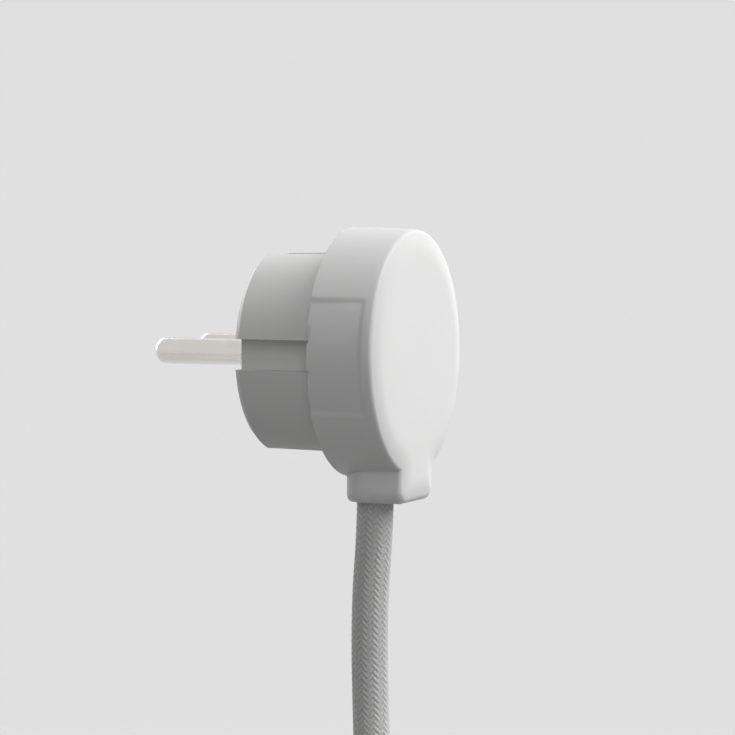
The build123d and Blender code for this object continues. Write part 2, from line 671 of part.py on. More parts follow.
def end_ferrules():
    """The three ferrules on the cord's far end, each a collar and a narrow tube."""
    x, y, _ = TAIL_ROUTE[-1]
    collar_end = CORE_END - END_COLLAR_LENGTH
    collar = upright(FERRULE_COLLAR_RADIUS, collar_end, CORE_END)
    tube = upright(END_TUBE_RADIUS, collar_end - END_TUBE_LENGTH, collar_end)
    places = core_places(CORE_SPREAD * CORE_CIRCLE)
    return Compound(children=[Pos(x + dx, y + dy, 0) * (collar + tube) for dx, dy in places])


def main():
    """Builds each piece and writes it to its own file."""
    pin_screw = (HEAD_BACK, CROSS_HOLE_Y - FERRULE_RADIUS, TERMINAL_HEAD_RADIUS)
    earth_screw = (EARTH_TERMINAL_FRONT, EARTH_WIRE_Y - FERRULE_RADIUS, EARTH_SCREW_HEAD_RADIUS)
    pieces = {
        "front_cover": front_cover(),
        "contact_carrier": contact_carrier(),
        "line_pin": contact_pin(-1),
        "neutral_pin": contact_pin(1),
        "earth_bracket": earth_bracket(),
        "earth_socket": earth_socket(),
        "earth_terminal": earth_terminal(),
        "line_terminal_screw": terminal_screw(*pin_screw, x=-PIN_X),
        "neutral_terminal_screw": terminal_screw(*pin_screw, x=PIN_X),
        "earth_terminal_screw": terminal_screw(*earth_screw, z=EARTH_TERMINAL_Z),
        "cord_clamp": cord_clamp(),
        "clamp_screws": clamp_screws(),
        "housing_screw": housing_screw(),
        "threaded_insert": threaded_insert(),
        "line_core": live_core(-1),
        "neutral_core": live_core(1),
        "earth_core": upright(CORE_RADIUS, JACKET_TOP, -11.3, y=EARTH_WIRE_Y),
        "line_ferrule": ferrule(-PIN_X, CROSS_HOLE_Y, -5.4, 2.6, 1.6),
        "neutral_ferrule": ferrule(PIN_X, CROSS_HOLE_Y, -5.4, 2.6, 1.6),
        "earth_ferrule": ferrule(0, EARTH_WIRE_Y, -9.8, -5.4, 1.5),
        "cord": cord_tube("cord", CORD_ROUTE),
        "cord_hank": cord_hank(),
        "cord_tie": cord_tie(),
        "cord_tail": cord_tube("cord_tail", TAIL_ROUTE),
        "end_sleeve": end_sleeve(),
        "end_line_core": end_core(1),
        "end_neutral_core": end_core(2),
        "end_earth_core": end_core(0),
        "end_ferrules": end_ferrules(),
    }
    os.makedirs("parts", exist_ok=True)
    for name, piece in pieces.items():
        export_step(piece, f"parts/{name}.step")


main()
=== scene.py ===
# Dresses a flat round mains plug: smooth cover, braided cord, moulded and plated finishes, and a stage
import math

import bmesh
import bpy
import numpy as np
from mathutils import Matrix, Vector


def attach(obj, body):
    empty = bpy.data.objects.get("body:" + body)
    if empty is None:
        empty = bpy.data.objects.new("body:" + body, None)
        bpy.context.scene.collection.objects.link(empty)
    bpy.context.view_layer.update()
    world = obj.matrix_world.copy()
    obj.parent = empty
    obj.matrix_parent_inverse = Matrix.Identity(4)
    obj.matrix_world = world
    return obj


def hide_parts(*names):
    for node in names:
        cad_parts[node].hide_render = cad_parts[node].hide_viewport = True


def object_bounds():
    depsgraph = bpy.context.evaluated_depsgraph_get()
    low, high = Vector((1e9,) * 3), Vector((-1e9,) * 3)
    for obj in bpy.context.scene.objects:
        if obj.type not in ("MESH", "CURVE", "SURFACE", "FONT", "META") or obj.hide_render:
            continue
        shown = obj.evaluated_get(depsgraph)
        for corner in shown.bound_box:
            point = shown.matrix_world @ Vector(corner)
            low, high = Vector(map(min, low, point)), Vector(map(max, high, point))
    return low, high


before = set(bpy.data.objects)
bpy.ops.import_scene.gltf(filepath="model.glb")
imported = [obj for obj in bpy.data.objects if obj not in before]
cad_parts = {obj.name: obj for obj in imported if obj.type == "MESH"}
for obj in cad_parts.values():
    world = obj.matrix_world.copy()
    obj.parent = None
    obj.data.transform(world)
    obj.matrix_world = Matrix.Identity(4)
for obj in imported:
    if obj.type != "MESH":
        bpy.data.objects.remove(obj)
CAD_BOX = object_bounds()

bl_info = {
    "name": "Flat Mains Plug",
    "version": (1, 0, 0),
    "blender": (4, 5, 0),
    "location": "3D View > Sidebar > Plug",
    "description": "Makes the cover, the braided cord, the finishes and the stage of a flat mains plug",
    "category": "Object",
}

MM = 0.001

# The route of the cord from its clamp down to the hank, and of its last stretch, in millimetres
CORD_ROUTE = [
    (0.0, -20.4, -13.0),
    (0.0, -20.4, -30.0),
    (0.0, -18.95, -48.0),
    (0.3, -19.45, -72.0),
    (0.0, -20.4, -97.0),
    (0.0, -20.4, -121.5),
]
TAIL_ROUTE = [
    (0.0, -56.4, -165.5),
    (0.0, -56.4, -178.0),
    (0.5, -57.1, -192.0),
    (0.5, -57.1, -206.0),
]
CORD_DIAMETER = 7.0

# Ferrules and cores, in millimetres: a ferrule is its moulded collar above these levels, and those in
# the plug all lie below theirs
END_COLLAR_Z = -241.5
ALL_TIN_Z = 20.0
CRIMP_PITCH = 1.3
STRIPE_HALF_WIDTH = 0.55

# Waves a metre of the soft noises in the finishes
MOULDED_CLOUDS = 70.0
PLATED_CLOUDS = 260.0
FERRULE_CLOUDS = 900.0
CORE_LINES = 2600.0
YARN_FUZZ = 2600.0
STRAP_NAP = 1800.0

# The put-away hank: its middle, its lobes and its tied waist, in millimetres. A lobe's turn goes on past
# its half circle by the overrun, in degrees
HANK_MIDDLE_Y = -38.4
HANK_MIDDLE_Z = -143.5
LOBE_RISE = 38.0
LOBE_RADIUS = 24.0
LAYER_STEP = 7.2
HANK_LAYERS = 4
LOBE_OVERRUN = 15.0
LOW_LOBE_PLACES = 8
HIGH_LOBE_PLACES = 5
WAIST_HALF_GAP = 7.2
WAIST_RISE = 10.0
LAST_WAIST_RISE = 12.0
HANK_FRONT_BEND = (8.5, -55.6, -125.0)

# The braid: strands each way round. Its middle height lies the inset inside the cord's diameter, and the
# length that is seen is modelled in fine steps
STRANDS = 20
STRAND_PITCH = 1.15 * MM
BRAID_INSET = 0.18 * MM
BRAID_MIDDLE_HEIGHT = 0.64
CORD_SIDES = 120
FINE_LENGTH = 62.0 * MM
FINE_STEP = 0.19 * MM
COARSE_STEP = 2.8 * MM
CURVE_STEPS = 12

# The strap round the hank, in millimetres. Its start, its turns and where its lap starts and how fast it
# rises are shares of its ring, and the lap's lift is a share of its thickness
STRAP_HALF_HEIGHT = 6.95
STRAP_THICKNESS = 0.8
STRAP_HALF_WIDTH = 11.05
STRAP_HALF_DEPTH = 14.45
STRAP_CORNER = 3.2
STRAP_RIB = 0.9
STRAP_START = 0.36
STRAP_TURNS = 1.16
STRAP_LAP_START = 0.97
STRAP_LAP_RAMP = 0.05
STRAP_LAP_LIFT = 0.98
STRAP_SQUARENESS = 0.22
STRAP_STEPS = 330
STRAP_SIDES = 40
CORNER_STEPS = 24

# The cover's form, in millimetres: its face, its tab and its finger recesses
FACE_Y = -28.85
RIM_Y = -16.0
SKIN_END_Y = -15.0
SIDE_TOP_DEPTH = 1.2
TAB_HALF_WIDTH = 7.95
TAB_BOTTOM = -27.1
TAB_CORNER = 2.35
TAB_REAR_CORNER = 5.4
TAB_REAR_STOP = 0.02
TAB_ROOT = -6.0
TAB_BLEND = 2.5
TAB_EDGE_TOP = -22.5
TAB_EDGE_RUN = 4.0
TAB_EDGE_POWER = 1.5
GRIP_HALF_HEIGHT = 10.7
GRIP_FRONT_Y = -26.6
GRIP_SOFTNESS = 1.0
GRIP_FRONT_SHARE = 0.55
GRIP_REAR_GROWTH = 0.45

# How finely the cover is divided: disc, tab sides, corners and bottom, then its rings
OUTLINE_SAMPLES = (600, 26, 24, 24)
FACE_RINGS = 26
EDGE_RINGS = 10
SIDE_RINGS = 58
JOINED_WITHIN = 0.002 * MM
SHARP_ANGLE = 32.0

# The lamps: direction from the plug and size in metres, all at one distance
LAMP_DISTANCE = 2.0
LAMPS = {
    "key": ((0.18, -0.74, 0.64), 1.5),
    "fill": ((-0.90, -0.25, 0.35), 1.4),
    "top": ((0.10, -0.25, 0.96), 1.5),
    "right": ((0.93, -0.32, 0.20), 1.4),
    "back": ((0.55, 0.80, 0.35), 1.4),
}

# The floor, in metres: how far it reaches, its gap under the cord's end and where it fades out
FLOOR_REACH = 1.4
FLOOR_GAP = 0.006
FLOOR_FADE = (0.25, 1.2)
FLOOR_RETURN = (0.12, 0.12, 0.12)
SEEING_RAYS = ("Is Camera Ray", "Is Glossy Ray", "Is Transmission Ray")

# The photograph's camera in the part's frame: place in millimetres, angles in degrees
CAMERA_PLACE = (-608.06, -264.36, 33.88)
CAMERA_YAW = 67.997
CAMERA_PITCH = -3.205
CAMERA_ROLL = 0.084
FOCAL_PIXELS = 3600.0
PICTURE_PIXELS = 735.0
SENSOR_WIDTH = 36.0
CLIP_START = 0.01
CLIP_END = 20.0


def length_property(name, description, millimetres):
    """A length that a user may change, given in millimetres."""
    return bpy.props.FloatProperty(
        name=name,
        description=description,
        default=millimetres * MM,
        min=0.0,
        unit="LENGTH",
        precision=5,
    )


def colour_property(name, description, colour):
    """A surface colour that a user may change."""
    return bpy.props.FloatVectorProperty(
        name=name,
        description=description,
        default=colour,
        size=3,
        min=0.0,
        max=1.0,
        subtype="COLOR",
    )


def level_property(name, description, level):
    """A light level, where 1 shows a surface's colour as it is written."""
    return bpy.props.FloatProperty(name=name, description=description, default=level, min=0.0)


class PlugSizes(bpy.types.PropertyGroup):
    """Sizes of the pieces that are modelled here"""

    cover_radius: length_property("Cover radius", "Radius of the cover at its rear rim", 22.75)
    cover_front_radius: length_property("Front radius", "Radius of the cover at its front edge", 22.45)
    crown_width: length_property("Crown width", "How far the face's rounding reaches inwards", 4.7)
    crown_drop: length_property("Crown drop", "How far the face falls towards its edge", 0.65)
    front_edge: length_property("Front edge", "Radius of the edge between face and side", 0.8)
    tab_edge: length_property("Tab edge", "Radius of the same edge at the tab's lower end", 1.45)
    grip_depth: length_property("Recess depth", "How deep the finger recesses are at the rear", 0.39)
    braid_relief: length_property("Braid relief", "How far the braid's strands stand proud", 0.14)


class PlugColours(bpy.types.PropertyGroup):
    """Colours of the finishes"""

    cover: colour_property("Cover", "Satin white of the moulded cover", (0.80, 0.80, 0.797))
    carrier: colour_property("Carrier", "Matt white of the nose and its flange", (0.77, 0.77, 0.765))
    braid: colour_property("Braid", "Pale yarn of the cord's braid", (0.72, 0.72, 0.715))
    # Painted shade: the darker yarn colour painted into the braid's gaps between the strands
    braid_gap_shade: colour_property("Braid gaps", "Shaded yarn deep between the strands", (0.52, 0.52, 0.515))
    strap: colour_property("Strap", "Grey woven strap round the hank", (0.30, 0.30, 0.305))
    sleeve: colour_property("Sleeve", "Shrunk sleeve on the cord's end", (0.70, 0.70, 0.69))
    nickel: colour_property("Nickel", "Plating of the pins and the earth strip", (0.78, 0.755, 0.71))
    brass: colour_property("Brass", "Turned brass of the insert and the terminal", (0.78, 0.58, 0.27))
    zinc: colour_property("Zinc", "Plating of the screws", (0.66, 0.67, 0.68))
    clamp: colour_property("Clamp", "Grey moulded bar over the cord", (0.42, 0.42, 0.42))
    tin: colour_property("Tin", "Crimped sleeves of the ferrules", (0.74, 0.74, 0.73))
    collar: colour_property("Collar", "Moulded collars of the ferrules", (0.62, 0.62, 0.61))
    brown: colour_property("Brown core", "Insulation of the live core", (0.16, 0.065, 0.03))
    blue: colour_property("Blue core", "Insulation of the neutral core", (0.02, 0.11, 0.45))
    green: colour_property("Green core", "Insulation of the earth core", (0.03, 0.30, 0.07))
    yellow: colour_property("Yellow stripe", "Stripe of the earth core", (0.78, 0.62, 0.03))


class StageSettings(bpy.types.PropertyGroup):
    """Light and surroundings"""

    backdrop: colour_property("Backdrop", "Pale colour round the object", (0.745, 0.745, 0.745))
    ambient: level_property("Ambient", "Strength of the light from all round", 0.10)
    key: level_property("Key", "Level that the main lamp gives on a facing surface", 0.72)
    fill: level_property("Fill", "Level that the left lamp gives on a facing surface", 0.20)
    top: level_property("Top", "Level that the lamp above gives on a facing surface", 0.27)
    right: level_property("Right", "Level that the right lamp gives on a facing surface", 0.36)
    back: level_property("Back", "Level that the lamp behind gives on a facing surface", 0.60)


class Wire:
    """One output of a node. Arithmetic on it adds Math nodes, so a formula reads as it is written."""

    def __init__(self, recipe, socket):
        self.recipe = recipe
        self.socket = socket

    def maths(self, operation, *values):
        return self.recipe.node("Math", {"operation": operation}, dict(enumerate(values)))

    def __add__(self, other):
        return self.maths("ADD", self, other)

    def __radd__(self, other):
        return self.maths("ADD", other, self)

    def __sub__(self, other):
        return self.maths("SUBTRACT", self, other)

    def __rsub__(self, other):
        return self.maths("SUBTRACT", other, self)

    def __mul__(self, other):
        return self.maths("MULTIPLY", self, other)

    def __rmul__(self, other):
        return self.maths("MULTIPLY", other, self)

    def __lt__(self, other):
        return self.maths("LESS_THAN", self, other)

    def __gt__(self, other):
        return self.maths("GREATER_THAN", self, other)

    def __mod__(self, other):
        return self.maths("FLOORED_MODULO", self, other)

    def __abs__(self):
        return self.maths("ABSOLUTE", self)

    def floor(self):
        return self.maths("FLOOR", self)

    def fraction(self):
        return self.maths("FRACT", self)

    def sine(self):
        return self.maths("SINE", self)

    def larger(self, other):
        return self.maths("MAXIMUM", self, other)


class Finish:
    """A material being written: a Principled surface and the nodes that feed it."""

    def __init__(self, name, colour, **surface):
        self.material = bpy.data.materials.new(name)
        self.material.use_nodes = True
        self.material.diffuse_color = (*colour, 1.0)
        self.tree = self.material.node_tree
        self.tree.nodes.clear()
        self.colour = (*colour, 1.0)
        self.shader = self.tree.nodes.new("ShaderNodeBsdfPrincipled")
        output = self.tree.nodes.new("ShaderNodeOutputMaterial")
        self.tree.links.new(self.shader.outputs[0], output.inputs["Surface"])
        self.surface(base_color=self.colour, **surface)

    def feed(self, socket, value):
        """Links an output to a socket, or sets the socket's own value."""
        if isinstance(value, Wire):
            self.tree.links.new(value.socket, socket)
        else:
            socket.default_value = value

    def node(self, kind, settings=None, sockets=None, output=0):
        """Adds a node, its settings first and then its sockets, and returns one output."""
        made = self.tree.nodes.new("ShaderNode" + kind)
        for name, value in (settings or {}).items():
            setattr(made, name, value)
        for name, value in (sockets or {}).items():
            self.feed(made.inputs[name], value)
        return Wire(self, made.outputs[output])

    def surface(self, **values):
        """Sets the surface's sockets by their names in small letters."""
        for name, value in values.items():
            title = {"ior": "IOR"}.get(name, name.replace("_", " ").title())
            self.feed(self.shader.inputs[title], value)

    def place(self):
        """A point's place in the part's frame."""
        return self.node("TexCoord", output="Object")

    def along(self, axis):
        """A point's place along one axis, in metres."""
        return self.node("SeparateXYZ", sockets={0: self.place()}, output=axis)

    def noise(self, scale, detail=2.0, stretch=(1.0, 1.0, 1.0), roughness=0.5):
        """Soft noise of about one wave in 1/scale metres, from 0 to 1."""
        vector = self.node("Mapping", sockets={"Vector": self.place(), "Scale": stretch})
        sockets = {"Vector": vector, "Scale": scale, "Detail": detail, "Roughness": roughness}
        return self.node("TexNoise", sockets=sockets)

    def mixed(self, factor, first, second):
        """A colour between two, by a factor from 0 to 1.

        The Mix node's sockets for colours are 6 and 7, and its output for a colour is 2."""
        colours = [c if isinstance(c, Wire) else (*c[:3], 1.0) for c in (first, second)]
        sockets = {0: factor, 6: colours[0], 7: colours[1]}
        return self.node("Mix", {"data_type": "RGBA"}, sockets, output=2)

    def shades(self, factor, change):
        """The finish's own colour, made a little darker and lighter by a factor from 0 to 1."""
        dark = [c * (1 - change) for c in self.colour[:3]]
        light = [min(1.0, c * (1 + change)) for c in self.colour[:3]]
        return self.mixed(factor, dark, light)

    def relief(self, height, depth):
        """Bumps of a height from 0 to 1, scaled to a depth in metres."""
        sockets = {"Height": height, "Distance": depth, "Strength": 1.0}
        self.surface(normal=self.node("Bump", sockets=sockets))


def moulded(name, colour, gloss, grain, depth, tint=0.012):
    """Moulded plastic: fine grain, faint flow clouds and a roughness that varies with them.

    grain is the grain's waves a metre, depth its depth in metres and tint the clouds' strength."""
    finish = Finish(name, colour, ior=1.49)
    cloud = finish.noise(MOULDED_CLOUDS, detail=3.0)
    fine = finish.noise(grain)
    finish.surface(base_color=finish.shades(cloud, tint), roughness=gloss + 0.08 * cloud)
    finish.relief(fine, depth)
    return finish.material


def plated(name, colour, gloss, ring, depth):
    """Plated metal turned on a lathe: rings across its length and a little cloud.

    ring is the rings' waves a metre and depth their depth in metres."""
    finish = Finish(name, colour, metallic=1.0)
    cloud = finish.noise(PLATED_CLOUDS, detail=3.0)
    rings = finish.noise(ring, detail=1.0, stretch=(0.02, 1.0, 0.02))
    finish.surface(base_color=finish.shades(cloud, 0.05), roughness=gloss + 0.12 * cloud)
    finish.relief(rings, depth)
    return finish.material


def drawn_lines(finish):
    """Faint lines along an extruded core, from 0 to 1, which also make its roughness and relief."""
    lines = finish.noise(CORE_LINES, stretch=(1.0, 1.0, 0.03))
    finish.surface(roughness=0.36 + 0.10 * lines)
    finish.relief(lines, 0.03 * MM)
    return lines


def insulated(name, colour):
    """Extruded insulation: satin, with faint lines along the core."""
    finish = Finish(name, colour, ior=1.5)
    finish.surface(base_color=finish.shades(drawn_lines(finish), 0.10))
    return finish.material


def striped_insulation(name, green, yellow, middle_x):
    """The earth core's insulation: green, with a yellow stripe about a middle place across it."""
    finish = Finish(name, green, ior=1.5)
    lines = drawn_lines(finish)
    away = abs(finish.along("X") - middle_x)
    stripe = (away + 0.1 * MM * lines) < STRIPE_HALF_WIDTH * MM
    finish.surface(base_color=finish.mixed(stripe, green, yellow))
    return finish.material


def collared(name, metal, collar, level):
    """A ferrule: crimped tin below a level, and its moulded collar above it."""
    finish = Finish(name, metal)
    cloud = finish.noise(FERRULE_CLOUDS)
    above = finish.along("Z") > level
    crimp = (finish.along("Z") * (2 * math.pi / (CRIMP_PITCH * MM))).sine()
    finish.surface(
        base_color=finish.mixed(above, finish.shades(cloud, 0.08), collar),
        metallic=1 - above,
        roughness=0.30 + 0.12 * cloud,
    )
    finish.relief((1 - above) * (0.5 + 0.5 * crimp), 0.06 * MM)
    return finish.material


def braided(name, yarn, gap_shade):
    """Braid from the cord's own map: two crossing families of strands, each over two and under two.

    The place across whichever strand lies on top gives its ridge, its three yarns, and the painted shade
    that darkens the strands' sides and the gaps between them."""
    finish = Finish(name, yarn, roughness=0.86, sheen_weight=0.35, sheen_roughness=0.5, ior=1.45)
    uv = finish.node("UVMap", {"uv_map": "braid"})
    around = finish.node("SeparateXYZ", sockets={0: uv}, output="X")
    along = finish.node("SeparateXYZ", sockets={0: uv}, output="Y")
    first, second = around + along, around - along
    turn = ((first.floor() + second.floor()) % 4.0) < 2.0
    across = turn * first.fraction() + (1 - turn) * second.fraction()
    ridge = (across * math.pi).sine()
    yarns = abs((across * (3 * math.pi)).sine())
    fuzz = finish.noise(YARN_FUZZ, detail=3.0)
    height = 0.62 * ridge + 0.22 * yarns + 0.16 * fuzz
    # Painted shade: the colour falls from the yarn's towards the gap shade at the sides of each strand
    # and yarn
    shade = (0.30 + 0.95 * ridge * (0.7 + 0.3 * yarns)) * (0.86 + 0.28 * fuzz)
    finish.surface(base_color=finish.mixed(shade, gap_shade, yarn))
    finish.relief(height, 0.10 * MM)
    return finish.material


def woven(name, colour):
    """A woven strap: fine ribs across it and a brushed nap, with painted shade that darkens the colour
    between the ribs.
    """
    finish = Finish(name, colour, roughness=0.9, sheen_weight=0.3)
    uv = finish.node("UVMap", {"uv_map": "weave"})
    around = finish.node("SeparateXYZ", sockets={0: uv}, output="X")
    along = finish.node("SeparateXYZ", sockets={0: uv}, output="Y")
    nap = finish.noise(STRAP_NAP, detail=3.0)
    ribs = abs((around * math.pi).sine()) * abs((along * math.pi + around * math.pi).sine())
    # Painted shade: darker between the ribs and lighter on their crests; the nap varies the tone at
    # random
    finish.surface(base_color=finish.shades(0.5 * ribs + 0.5 * nap, 0.35))
    finish.relief(0.7 * ribs + 0.3 * nap, 0.18 * MM)
    return finish.material


def slot_finish(material, *names):
    """Gives a material to CAD nodes as their only one."""
    for name in names:
        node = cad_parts[name]
        node.data.materials.clear()
        node.data.materials.append(material)


def grid_mesh(name, points, closed, uv_name=None, uvs=None):
    """A mesh from a grid of points, rows by columns by 3, with four-sided faces.

    Where it is closed, the last column joins the first, and the first and the last row are each closed
    with a fan about their middle."""
    rows, columns = points.shape[:2]
    index = np.arange(rows * columns).reshape(rows, columns)
    right = np.roll(index, -1, axis=1) if closed else index[:, 1:]
    left = index if closed else index[:, :-1]
    quads = np.stack([left[:-1], right[:-1], right[1:], left[1:]], -1).reshape(-1, 4)
    vertices = points.reshape(-1, 3)
    sides = np.full(len(quads), 4)
    corners = quads.reshape(-1)
    if closed:
        middles = np.stack([points[0].mean(0), points[-1].mean(0)])
        top, bottom = len(vertices), len(vertices) + 1
        vertices = np.concatenate([vertices, middles])
        first, last = index[0], index[-1]
        top_fan = np.stack([np.roll(first, -1), first, np.full(columns, top)], -1)
        bottom_fan = np.stack([last, np.roll(last, -1), np.full(columns, bottom)], -1)
        fans = np.concatenate([top_fan, bottom_fan])
        sides = np.concatenate([sides, np.full(len(fans), 3)])
        corners = np.concatenate([corners, fans.reshape(-1)])
    mesh = bpy.data.meshes.new(name)
    mesh.vertices.add(len(vertices))
    mesh.vertices.foreach_set("co", np.asarray(vertices, np.float32).reshape(-1))
    mesh.loops.add(len(corners))
    mesh.loops.foreach_set("vertex_index", corners.astype(np.int32))
    mesh.polygons.add(len(sides))
    starts = np.concatenate([[0], np.cumsum(sides)[:-1]])
    mesh.polygons.foreach_set("loop_start", starts.astype(np.int32))
    mesh.polygons.foreach_set("use_smooth", np.ones(len(sides), bool))
    if uvs is not None:
        write_map(mesh, uv_name, uvs, quads, columns)
    mesh.update(calc_edges=True)
    mesh.validate()
    return mesh


def write_map(mesh, name, uvs, quads, columns):
    """A map for a grid that closes round its columns.

    uvs has one more column than the grid, so that no face runs back over the whole map."""
    row, column = quads // columns, quads % columns
    next_column = np.where((column == 0) & (column[:, :1] == columns - 1), columns, column)
    values = np.zeros((len(mesh.loops), 2), np.float32)
    values[: quads.size] = uvs[row, next_column].reshape(-1, 2)
    layer = mesh.uv_layers.new(name=name)
    layer.data.foreach_set("uv", values.reshape(-1))


def new_piece(mesh, material):
    """Puts a mesh into the scene as a piece that rides on the plug."""
    piece = bpy.data.objects.new(mesh.name, mesh)
    bpy.context.scene.collection.objects.link(piece)
    mesh.materials.append(material)
    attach(piece, "root")
    return piece


def layer_depth(layer):
    """The depth of a layer of the hank. Layer 0 is the rearmost."""
    return HANK_MIDDLE_Y + LAYER_STEP * ((HANK_LAYERS - 1) / 2 - layer)


def lobe_points(middle_z, first_angle, last_angle, layers):
    """Places round a lobe of the hank: x = R cos a, z = middle + R sin a, and y is the layer's depth."""
    angles = np.radians(np.linspace(first_angle, last_angle, len(layers)))
    x = LOBE_RADIUS * np.cos(angles)
    z = middle_z + LOBE_RADIUS * np.sin(angles)
    return list(zip(x, layer_depth(np.asarray(layers)), z))


def waist_points(x, heights, layer):
    """Places where a strand passes the tied waist, at a layer's depth."""
    return [(x, layer_depth(layer), HANK_MIDDLE_Z + height) for height in heights]


def hank_turns():
    """The hank's turns: down the middle, then round the lower lobe, up the left of the waist, round the
    upper lobe and down the right, a layer nearer the front each time. The last comes down in front of
    the others and goes out down the middle."""
    low, high = HANK_MIDDLE_Z - LOBE_RISE, HANK_MIDDLE_Z + LOBE_RISE
    down, up = (WAIST_RISE, -WAIST_RISE), (-WAIST_RISE, WAIST_RISE)
    points = waist_points(0.0, down, 0)
    for layer in range(HANK_LAYERS):
        next_layer = layer + 1
        points += lobe_points(low, LOBE_OVERRUN, -180 - LOBE_OVERRUN, [layer] * LOW_LOBE_PLACES)
        points += waist_points(-WAIST_HALF_GAP, up, layer)
        points += lobe_points(high, 180 + LOBE_OVERRUN, 90, [layer] * HIGH_LOBE_PLACES)
        forward = np.linspace(layer, next_layer, HIGH_LOBE_PLACES)[1:]
        points += lobe_points(high, 60, -LOBE_OVERRUN, forward)
        if next_layer < HANK_LAYERS:
            points += waist_points(WAIST_HALF_GAP, down, next_layer)
    points.append(HANK_FRONT_BEND)
    return points + waist_points(0.0, (LAST_WAIST_RISE, -WAIST_RISE), HANK_LAYERS - 1)


def cord_line():
    """The cord's whole centreline as a smooth curve, read back as points in metres."""
    route = CORD_ROUTE + hank_turns() + TAIL_ROUTE
    curve = bpy.data.curves.new("cord_line", "CURVE")
    curve.dimensions = "3D"
    curve.resolution_u = CURVE_STEPS
    spline = curve.splines.new("NURBS")
    spline.points.add(len(route) - 1)
    weighted = np.ones((len(route), 4), np.float32)
    weighted[:, :3] = np.array(route) * MM
    spline.points.foreach_set("co", weighted.reshape(-1))
    spline.order_u = 3
    spline.use_endpoint_u = True
    holder = bpy.data.objects.new("cord_line", curve)
    mesh = bpy.data.meshes.new_from_object(holder)
    line = np.zeros(len(mesh.vertices) * 3)
    mesh.vertices.foreach_get("co", line)
    bpy.data.objects.remove(holder)
    bpy.data.meshes.remove(mesh)
    return line.reshape(-1, 3)


def spaced(line, distances):
    """Places along a line at given distances from its start, and the line's whole length."""
    steps = np.linalg.norm(np.diff(line, axis=0), axis=1)
    reached = np.concatenate([[0.0], np.cumsum(steps)])
    places = [np.interp(distances, reached, line[:, axis]) for axis in range(3)]
    return np.stack(places, 1), reached[-1]


def smooth_step(share):
    """Rises smoothly from 0 to 1: 3 s squared - 2 s cubed, where s is the share kept within 0 and 1."""
    kept = np.clip(share, 0, 1)
    return 3 * kept**2 - 2 * kept**3


def line_frames(line):
    """Two directions across a line at each point: n = Y - (Y.t) t and b = t x n, where t runs along it.

    Y is the depth axis, which the line never follows, and keeps the directions from twisting."""
    tangents = np.gradient(line, axis=0)
    tangents /= np.linalg.norm(tangents, axis=1, keepdims=True)
    depth = np.array([0.0, 1.0, 0.0])
    normals = depth - (tangents @ depth)[:, None] * tangents
    normals /= np.linalg.norm(normals, axis=1, keepdims=True)
    return normals, np.cross(tangents, normals)


def braid_height(around, along):
    """The braid's height, from 0 to 1: the sine of the place across whichever strand lies on top."""
    first, second = around + along, around - along
    turn = np.mod(np.floor(first) + np.floor(second), 4) < 2
    across = np.where(turn, np.mod(first, 1), np.mod(second, 1))
    return np.sin(np.pi * across)


class PLUG_OT_braided_cord(bpy.types.Operator):
    """Make the braided cord: a round profile along a smooth line, raised where a strand lies on top"""

    bl_idname = "plug.braided_cord"
    bl_label = "Braided Cord"

    def execute(self, context):
        sizes, colours = context.scene.plug_sizes, context.scene.plug_colours
        line = cord_line()
        total = spaced(line, [0.0])[1]
        fine = np.arange(0.0, FINE_LENGTH, FINE_STEP)
        coarse = np.linspace(FINE_LENGTH, total, int((total - FINE_LENGTH) / COARSE_STEP))
        distances = np.concatenate([fine, coarse])
        path = spaced(line, distances)[0]
        normals, binormals = line_frames(path)
        turn = np.linspace(0.0, 1.0, CORD_SIDES + 1)
        around = np.broadcast_to(turn * STRANDS, (len(path), CORD_SIDES + 1))
        along = np.broadcast_to((distances / STRAND_PITCH)[:, None], around.shape)
        height = braid_height(around, along) - BRAID_MIDDLE_HEIGHT
        relief = sizes.braid_relief * (distances < FINE_LENGTH)[:, None]
        radius = CORD_DIAMETER * MM / 2 - BRAID_INSET + relief * height
        angle = 2 * np.pi * turn[None, :, None]
        ring = np.cos(angle) * normals[:, None] + np.sin(angle) * binormals[:, None]
        points = path[:, None] + radius[..., None] * ring
        uvs = np.stack([around, along], -1)
        mesh = grid_mesh("braided_cord", points[:, :-1], True, "braid", uvs)
        material = braided("cord_braid", colours.braid, colours.braid_gap_shade)
        piece = new_piece(mesh, material)
        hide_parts("cord", "cord_hank", "cord_tail")
        print("cord length", round(total, 4))
        return {"FINISHED"}


def oblong_path(half_width, half_depth, corner, shares):
    """Places and outward directions round a rounded oblong, and its length.

    shares are shares of its length from the middle of its front. Each corner is a quarter arc, and the
    places between the corners lie on straight sides."""
    turn = np.linspace(0, np.pi / 2, CORNER_STEPS + 1)
    quarters = []
    for quarter, (across, deep) in enumerate(((1, -1), (1, 1), (-1, 1), (-1, -1))):
        angle = turn + quarter * np.pi / 2 - np.pi / 2
        direction = np.stack([np.cos(angle), np.sin(angle)], 1)
        middle = np.array([across * (half_width - corner), deep * (half_depth - corner)])
        quarters.append(np.concatenate([middle + corner * direction, direction], 1))
    start = np.array([[0.0, -half_depth, 0.0, -1.0]])
    ring = np.concatenate([start, *quarters, start])
    steps = np.linalg.norm(np.diff(ring[:, :2], axis=0), axis=1)
    reached = np.concatenate([[0.0], np.cumsum(steps)])
    where = np.mod(shares, 1.0) * reached[-1]
    values = np.stack([np.interp(where, reached, ring[:, column]) for column in range(4)], 1)
    return values[:, :2], values[:, 2:], reached[-1]


